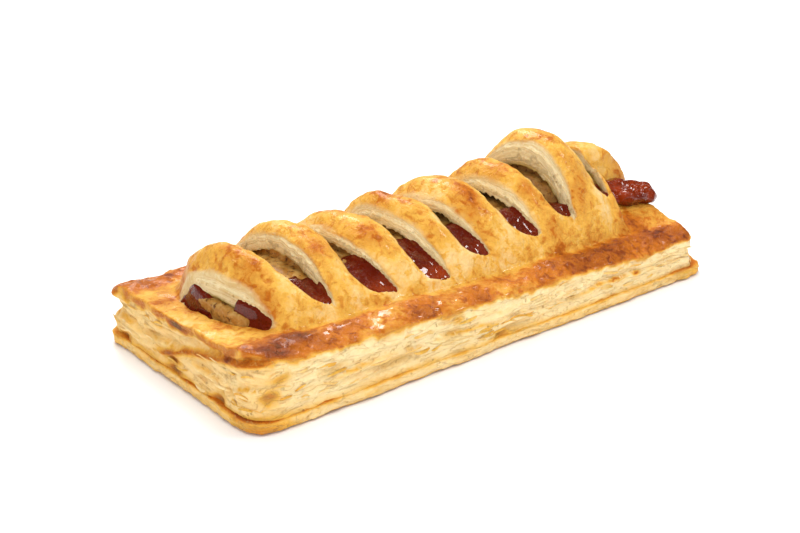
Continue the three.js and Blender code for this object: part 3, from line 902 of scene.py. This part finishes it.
def tunnel_tool(grow):
    """The hollow under the lid."""
    def shape(u, v, top):
        x = mixed(TUNNEL_NEAR - grow, TUNNEL_FAR + grow, (u + 1) / 2)
        from_end = np.minimum(x - TUNNEL_NEAR, TUNNEL_FAR - x)
        half = TUNNEL_HALF * np.sqrt(ramp(from_end, -6, 9)) + grow
        y = np.where(top, v * half, v * (half - 1.5))
        ahead = np.where(lid_top(x + 0.5, y) > lid_top(x, y), x + 0.5, x)
        edge = far_edge(SLITS[0], y) + 0.1
        held = 2.5 * (1 - ramp(x, MOUTH + 7, MOUTH + 13))
        under = np.where(x > edge - 0.6, np.maximum(ahead - held, edge), ahead)
        roof = np.maximum(lid_top(under, y) - lid_depth(x, y), TUNNEL_FLOOR + 3)
        return x, y, np.where(top, roof + grow, TUNNEL_FLOOR - grow)
    return slab("tunnel_tool", 600, 60, shape)


class ROLL_OT_crust(bpy.types.Operator):
    """Bakes the upper parcel: lid with its bands, border and leafy sides"""
    bl_idname = "roll.crust"
    bl_label = "Bake the crust"

    def execute(self, context):
        look = context.scene.roll_crust

        def parcel(u, v, top):
            x, y = rounded_plan(u, v, WALL_INSET)
            x = x - FAR_INSET * ramp(x, 70, 84)
            return x, y, np.where(top, lid_top(x, y), SHEET - 0.7)

        crust = slab("puff_pastry_crust", 330, 150, parcel)
        combine(crust, tunnel_tool(0.0), "DIFFERENCE")
        for slit in SLITS:
            combine(crust, slit_tool(slit, 0.0), "DIFFERENCE")
        remesh(crust, look.fineness)
        soften(crust, 3)
        push(crust, crust_relief(*surface(crust), look), SHEET - 0.8)
        soften(crust, 1)
        thin_out(crust, CRUST_MOST)
        x, y, z, normal = surface(crust)
        lid, side, cut, hidden, below = crust_zones(x, y, z, normal)
        depth, _ = side_marks(x, y, z)
        # painted shade: the deeper a place on the side lies between leaves or in a cavity, the
        # darker its hollow mark paints it
        painted_recess_shade = unit(-strata(x, y, z) * 0.8) * 0.6 + unit(depth)
        mark_pastry(
            crust, browned=crust_browning(x, y, z, side), cut=cut, side=side,
            hollow=0.6 * unit(painted_recess_shade) * side, leaf=below, steamed=hidden,
            glaze=unit(lid + 0.3 * side * side_share(x, y, z) ** 6),
            shine=shine_of(x, y, lid))
        hand_over(crust, ["pastry"], pastry_material("egg_washed_puff_pastry", look))
        return {"FINISHED"}


class ROLL_OT_bottom_sheet(bpy.types.Operator):
    """Lays the bottom sheet, whose lip stands out all round under the parcel"""
    bl_idname = "roll.bottom_sheet"
    bl_label = "Lay the bottom sheet"

    def execute(self, context):
        look = context.scene.roll_crust

        def sheet(u, v, top):
            x, y = rounded_plan(u, v, 0.9)
            x = x - 1.1 * ramp(x, 70, 84)
            return x, y, np.where(top, SHEET + 0.1, 0.25)

        base = slab("bottom_sheet", 240, 110, sheet)
        remesh(base, look.fineness * 1.05)
        soften(base, 2)
        at, normal = places(base), normals(base)
        x, y, z = at.T
        rim = ramp(5 - outline_inset(x, y), 0, 3)
        sideways = np.hypot(normal[:, 0], normal[:, 1])
        leaves = np.cos(2 * np.pi * (z / 1.25 + 0.8 * noise(x, y, 17, 97)))
        ragged = 0.5 * noise(x, y, 8, 91) + 0.35 * noise(x / 2.4, y / 2.4, 1, 92, z / 1.1)
        ragged += 0.16 * leaves + 0.2 * noise(x / 1.3, y / 1.3, 1, 98, z / 0.9)
        round_lip = 0.25 - 0.1 * (z - 2.2) ** 2
        at += normal * (rim * sideways * (ragged + round_lip))[:, None]
        waves = 0.4 * noise(x, y, 9, 93) + 0.2 * noise(x, y, 3, 94)
        at[:, 2] += waves * rim * ramp(z, 1, 3.4)
        lifted = 0.35 * ramp(noise(x, y, 6, 99), 0.1, 0.7)
        at[:, 2] += lifted * rim * ramp(1.2 - z, 0, 1)
        at[:, 2] = np.maximum(at[:, 2], 0.0)
        place(base, at)
        thin_out(base, SHEET_MOST)
        x, y, z, normal = surface(base)
        out = ramp(np.hypot(normal[:, 0], normal[:, 1]), 0.4, 0.8)
        crease = ramp(z, 3.0, 3.8)
        browned = 0.14 + 0.36 * crease + 0.12 * rough_noise(x / 6, y / 6, z, 95)
        browned += 0.2 * ramp(x, 62, 82) + 0.14 * bump(z, 0.6) + 0.08 * ramp(-x, 70, 84)
        browned += 0.22 * bump(np.hypot(x + 82, y + 36), 9)
        under = 0.42 + 0.12 * rough_noise(x / 9, y / 9, z, 96)
        browned = mixed(browned, under, ramp(-normal[:, 2], 0.5, 0.8))
        mark_pastry(base, browned=unit(browned), side=out, leaf=z,
                    glaze=0.1 + 0.15 * crease)
        hand_over(base, ["pastry"], pastry_material("bottom_sheet_pastry", look))
        return {"FINISHED"}


FLAKES = 190  # loose leaf ends on the sides
FLAKE_SEED = 7


class ROLL_OT_flakes(bpy.types.Operator):
    """Lifts thin leaf ends off the sides, each still held along one edge"""
    bl_idname = "roll.flakes"
    bl_label = "Lift the leaf ends"

    def execute(self, context):
        look = context.scene.roll_crust
        crust = bpy.data.objects["puff_pastry_crust"]
        chance = np.random.default_rng(FLAKE_SEED)
        pattern = slab("leaf_end", 8, 4, lambda u, v, top: (u, v, top * 1.0))
        u, v, level = places(pattern).T
        leaf_ends = []
        for _ in range(FLAKES):
            along, height = chance.uniform(-1, 1), chance.uniform(0.08, 0.8)
            if chance.random() < 0.7:
                x, y = along * (LENGTH / 2 - 4), np.sign(chance.uniform(-1, 0.8)) * WIDTH / 2
            else:
                x, y = np.sign(chance.uniform(-1, 0.6)) * LENGTH / 2, along * (WIDTH / 2 - 4)
            z = mixed(SHEET + 0.5, float(border_height(x, y)), height)
            found, spot, facing, _ = crust.closest_point_on_mesh(Vector((x, y, z)) * MM)
            sideways = Vector((facing.x, facing.y, 0))
            if not found or sideways.length < 0.8:
                continue
            out = sideways.normalized()
            run = Vector((0, 0, 1)).cross(out)
            half_long, half_wide = chance.uniform(1.2, 3.6), chance.uniform(0.4, 1.0)
            tilt, lift = chance.normal(0, 0.1), chance.uniform(0.1, 0.35)
            phase = chance.uniform(0, 9)
            taper = np.sqrt(unit(1 - 0.85 * u ** 2))
            long = u * half_long + 0.15 * np.sin(3 * v + phase)
            wide = v * half_wide * taper + tilt * long + 0.2 * np.sin(2.2 * u + phase)
            free = (v + 1) / 2 if chance.random() < 0.6 else (1 - v) / 2
            off = -0.12 + lift * free ** 1.5 * taper + 0.14 * level
            leaf_ends.append(np.array(spot) / MM + np.outer(long, run)
                             + np.outer(wide, (0, 0, 1)) + np.outer(off, out))
        copies = []
        for shape in leaf_ends:
            copy = pattern.copy()
            copy.data = pattern.data.copy()
            context.collection.objects.link(copy)
            place(copy, shape)
            copies.append(copy)
        pick(copies[0])
        for copy in copies:
            copy.select_set(True)
        bpy.ops.object.join()
        flakes = context.object
        flakes.name = flakes.data.name = "lifted_leaf_ends"
        bpy.data.meshes.remove(pattern.data)
        in_edit(flakes, face_out)
        finish_modifier(flakes, "SUBSURF", levels=1, render_levels=1)
        x, y, z = places(flakes).T
        browned = unit(0.24 + 0.2 * noise(x / 6, y / 6, 1, 111, z / 3))
        mark_pastry(flakes, browned=browned, side=0.6, leaf=z, glaze=0.1)
        hand_over(flakes, ["pastry"], pastry_material("leaf_end_pastry", look))
        return {"FINISHED"}


def meat_shape(angle, turn):
    """The rod of meat: full, with rounded ends, and kept under the lid's skin."""
    x = mixed(MEAT_NEAR, MEAT_FAR, 0.5 - 0.5 * np.cos(turn))
    from_end = unit(np.minimum(x - MEAT_NEAR, MEAT_FAR - x) / 3.5)
    size = np.sqrt(1 - (1 - from_end) ** 2)
    across, up = np.cos(angle), np.sin(angle)
    uneven = 0.5 * noise(x / 7, 3 * up, 1, 41)
    y = (MEAT_HALF_WIDTH + uneven) * size * np.sign(across) * np.abs(across) ** 0.75
    heaped = 1.2 + 7.5 * bump(x - 47, 11) + 2.2 * bump(x + 47, 8)
    risen = MEAT_HALF_HEIGHT + uneven + np.where(up > 0, heaped, 0)
    z = MEAT_MIDDLE + risen * size * np.sign(up) * np.abs(up) ** 0.75
    beside_it = lid_top(x, np.where(x > HOOD_START, y - 2.8, y))
    skin = np.minimum(lid_top(x - 2, y), beside_it) - 1.4
    edge = far_edge(SLITS[0], y) + 0.1
    under_mouth = lid_top(edge, y) - LID - 0.4
    return x, y, np.minimum(z, np.where(x < edge + 1.5, under_mouth, skin))


class ROLL_OT_meat(bpy.types.Operator):
    """Rolls the sausage meat that runs the length of the parcel"""
    bl_idname = "roll.meat"
    bl_label = "Roll the meat"

    def execute(self, context):
        look = context.scene.roll_filling
        meat = ball("sausage_meat", 128, 420, meat_shape)
        remesh(meat, 0.0006)
        x, y, z = places(meat).T
        crumbs = 0.5 * np.abs(noise(x, y, 1.4, 48, z))
        crumbs = rough_noise(x / 2.6, y / 2.6, z / 2.6, 45) + crumbs
        push(meat, crumbs * look.grain / MM)
        thin_out(meat, MEAT_MOST)
        x, y, z = places(meat).T
        # painted shade: the shaded mark darkens the meat beyond x = 10 mm, under the hood, and
        # partly around x = -40 mm
        far = ramp(x, 10, 36)
        write_marks(meat, shaded=far + 0.6 * ramp(x, -42, -36) * (1 - far))
        hand_over(meat, ["sausage"], meat_material("minced_sausage_meat", look))
        return {"FINISHED"}


def sauce_top(x, y):
    """The sauce's level: high between the middle slits, and dipping round the meat."""
    rise = ramp(x, -50, -42) * (1 - ramp(x, 24, 30))
    level = SAUCE_LEVEL + 6.6 * rise * (1 - 0.8 * ramp(y, -12, -2))
    level = level + 5.2 * (1 - rise) * ramp(-y, 8.5, 11)
    level = level - 5.0 * bump(np.hypot((x + 74) / 1.6, y + 5.5), 3.6)
    level = level + 3.4 * bump(np.hypot(x + 75, y - 4), 5)
    level = level + 0.9 * rough_noise(x / 4, y / 4, 0.0, 51) + 0.5 * noise(x, y, 1.7, 52)
    return np.minimum(level, lid_top(x, y) - 0.8 + 0.3 * noise(x, y, 3, 54))


class ROLL_OT_sauce(bpy.types.Operator):
    """Pours the sauce round the meat, up into the low ends of the slits"""
    bl_idname = "roll.sauce"
    bl_label = "Pour the sauce"

    def execute(self, context):
        look = context.scene.roll_filling
        hollow = tunnel_tool(0.4)
        for slit in SLITS:
            combine(hollow, slit_tool(slit, 0.35), "UNION")

        def pool(u, v, top):
            x = mixed(TUNNEL_NEAR - 6, TUNNEL_FAR + 10, (u + 1) / 2)
            y = v * 27
            return x, y, np.where(top, sauce_top(x, y), 0.0)

        sauce = slab("red_sauce", 300, 100, pool)
        combine(sauce, hollow, "INTERSECT")
        remesh(sauce, 0.00052)
        soften(sauce, 3)
        x, y, z, normal = surface(sauce)
        lumps = 0.35 * noise(x, y, 2.6, 55, z)
        push(sauce, lumps * ramp(normal[:, 2], 0, 0.6))
        thin_out(sauce, SAUCE_MOST)
        x, y, z = places(sauce).T
        tips = np.maximum(ramp(-y, 17.5, 22.5), ramp(y, 12, 16))
        thin = tips * (0.6 + 0.4 * noise(x, y, 3, 57)) + 0.12
        write_marks(sauce, thinness=unit(thin))
        hand_over(sauce, ["sauce"], sauce_material("glossy_red_sauce", look))
        return {"FINISHED"}


# sauce that boiled out of the last slit: middle and half sizes of each lobe
SPILL_LOBES = (
    ((75.5, -11.5, 20.6), (8.6, 6.4, 3.6)), ((70.5, -8.5, 22.4), (5, 4.6, 3.2)),
    ((79.5, -13.5, 19.6), (4.6, 4.4, 3.2)), ((66.5, -10, 20.3), (6.5, 4.2, 3.6)),
)
FLECK = ((12.6, 7.0, 0.5), (3.2, 2.2, 0.7))  # and of the sauce behind a band's crest, on the lid


def blob(middle, half):
    """Places a ball's vertices as an ellipsoid."""
    def shape(angle, turn):
        return (middle[0] + half[0] * np.cos(angle) * np.sin(turn),
                middle[1] + half[1] * np.sin(angle) * np.sin(turn),
                middle[2] + half[2] * np.cos(turn))
    return shape


class ROLL_OT_spill(bpy.types.Operator):
    """Sets the sauce that boiled out of the last slit onto the far corner"""
    bl_idname = "roll.spill"
    bl_label = "Let the sauce boil over"

    def execute(self, context):
        look = context.scene.roll_filling
        lobes = [ball("boiled_over_sauce", 48, 32, blob(*lobe)) for lobe in SPILL_LOBES]
        spill = lobes[0]
        for lobe in lobes[1:]:
            combine(spill, lobe, "UNION")
        on_lid = blob(*FLECK)

        def laid(angle, turn):
            x, y, z = on_lid(angle, turn)
            return x, y, z + lid_top(x, y)

        fleck = ball("fleck_of_sauce", 32, 20, laid)
        write_marks(fleck, thinness=0.4)
        hand_over(fleck, ["sauce"], sauce_material("fleck_of_sauce", look))
        remesh(spill, 0.0004)
        soften(spill, 8)
        x, y, z = places(spill).T
        lumps = 0.8 * noise(x, y, 3.2, 101, z)
        push(spill, lumps + 0.35 * noise(x, y, 1.5, 102, z))
        thin_out(spill, SPILL_MOST)
        x, y, z = places(spill).T
        write_marks(spill, thinness=unit(0.5 + 0.4 * noise(x, y, 3, 103, z)))
        hand_over(spill, ["sauce"], sauce_material("boiled_over_sauce", look))
        return {"FINISHED"}


# lights: share of the key's power, size and place in metres, and whether the gloss mirrors them
LIGHTS = {
    "key_softbox": (1.0, 0.35, (0.25, 0.5, 0.62), True),
    "window": (0.25, 0.13, (0.5, -0.35, 0.6), True),
    "top_softbox": (1.35, 1.0, (-0.1, -0.1, 1.1), False),
    "front_fill": (0.62, 0.8, (-0.6, -0.6, 0.4), False),
}
LIT_PLACE = (0, 0, 0.015)
CAMERA_AT = (-0.244593, -0.292379, 0.172811)
CAMERA_VIEW = (0.57802612, 0.71693268, -0.38973495)
LENS, SENSOR = 63.0, 36.0  # in mm
FLOOR_SIZE = 6  # in metres


def area_light(name, power, size, at, mirrored):
    lamp = bpy.data.lights.new(name, "AREA")
    lamp.energy, lamp.size = power, size
    holder = bpy.data.objects.new(name, lamp)
    bpy.context.collection.objects.link(holder)
    holder.location = at
    aim = Vector(LIT_PLACE) - Vector(at)
    holder.rotation_euler = aim.to_track_quat("-Z", "Y").to_euler()
    holder.visible_glossy = mirrored


class ROLL_OT_stage(bpy.types.Operator):
    """Sets the pale floor, the soft lights and the camera"""
    bl_idname = "roll.stage"
    bl_label = "Set the stage"

    def execute(self, context):
        look = context.scene.roll_stage
        start_clean()
        bpy.ops.mesh.primitive_plane_add(size=FLOOR_SIZE)
        floor = context.object
        floor.name = floor.data.name = "plain_floor"
        floor.data.materials.append(floor_material(look))
        scene = context.scene
        scene.view_settings.view_transform = "Standard"
        scene.view_settings.look = "None"
        world = bpy.data.worlds.new("bright_room")
        world.use_nodes = True
        room = world.node_tree.nodes["Background"]
        room.inputs["Color"].default_value = (1, 1, 1, 1)
        room.inputs["Strength"].default_value = look.room_light
        scene.world = world
        world.cycles_visibility.glossy = False
        for name, (share, size, at, mirrored) in LIGHTS.items():
            area_light(name, look.key_power * share, size, at, mirrored)
        lens = bpy.data.cameras.new("view_camera")
        lens.lens, lens.sensor_width = LENS, SENSOR
        lens.clip_start = 0.01
        camera = bpy.data.objects.new("view_camera", lens)
        context.collection.objects.link(camera)
        camera.location = CAMERA_AT
        camera.rotation_euler = Vector(CAMERA_VIEW).to_track_quat("-Z", "Y").to_euler()
        scene.camera = camera
        return {"FINISHED"}


class ROLL_PT_panel(bpy.types.Panel):
    """Lists the steps of the sausage roll and its settings"""
    bl_label = "Sausage Roll"
    bl_idname = "ROLL_PT_panel"
    bl_space_type = "VIEW_3D"
    bl_region_type = "UI"
    bl_category = "Sausage Roll"

    def draw(self, context):
        layout = self.layout
        for step in STEPS:
            layout.operator(step.bl_idname)
        for group in (getattr(context.scene, name) for name in GROUPS):
            box = layout.box()
            for name in group.bl_rna.properties.keys():
                if name not in ("rna_type", "name"):
                    box.prop(group, name)


STEPS = (ROLL_OT_crust, ROLL_OT_bottom_sheet, ROLL_OT_flakes, ROLL_OT_meat, ROLL_OT_sauce,
         ROLL_OT_spill, ROLL_OT_stage)
GROUPS = {"roll_crust": CrustSettings, "roll_filling": FillingSettings,
          "roll_stage": StageSettings}


def register():
    for group in GROUPS.values():
        bpy.utils.register_class(group)
    for name, group in GROUPS.items():
        setattr(bpy.types.Scene, name, PointerProperty(type=group))
    for step in STEPS:
        bpy.utils.register_class(step)
    bpy.utils.register_class(ROLL_PT_panel)


def unregister():
    bpy.utils.unregister_class(ROLL_PT_panel)
    for step in reversed(STEPS):
        bpy.utils.unregister_class(step)
    for name in GROUPS:
        delattr(bpy.types.Scene, name)
    for group in reversed(list(GROUPS.values())):
        bpy.utils.unregister_class(group)


def main():
    register()
    for step in STEPS:
        family, verb = step.bl_idname.split(".")
        getattr(getattr(bpy.ops, family), verb)()
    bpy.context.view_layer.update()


if __name__ == "__main__":
    main()
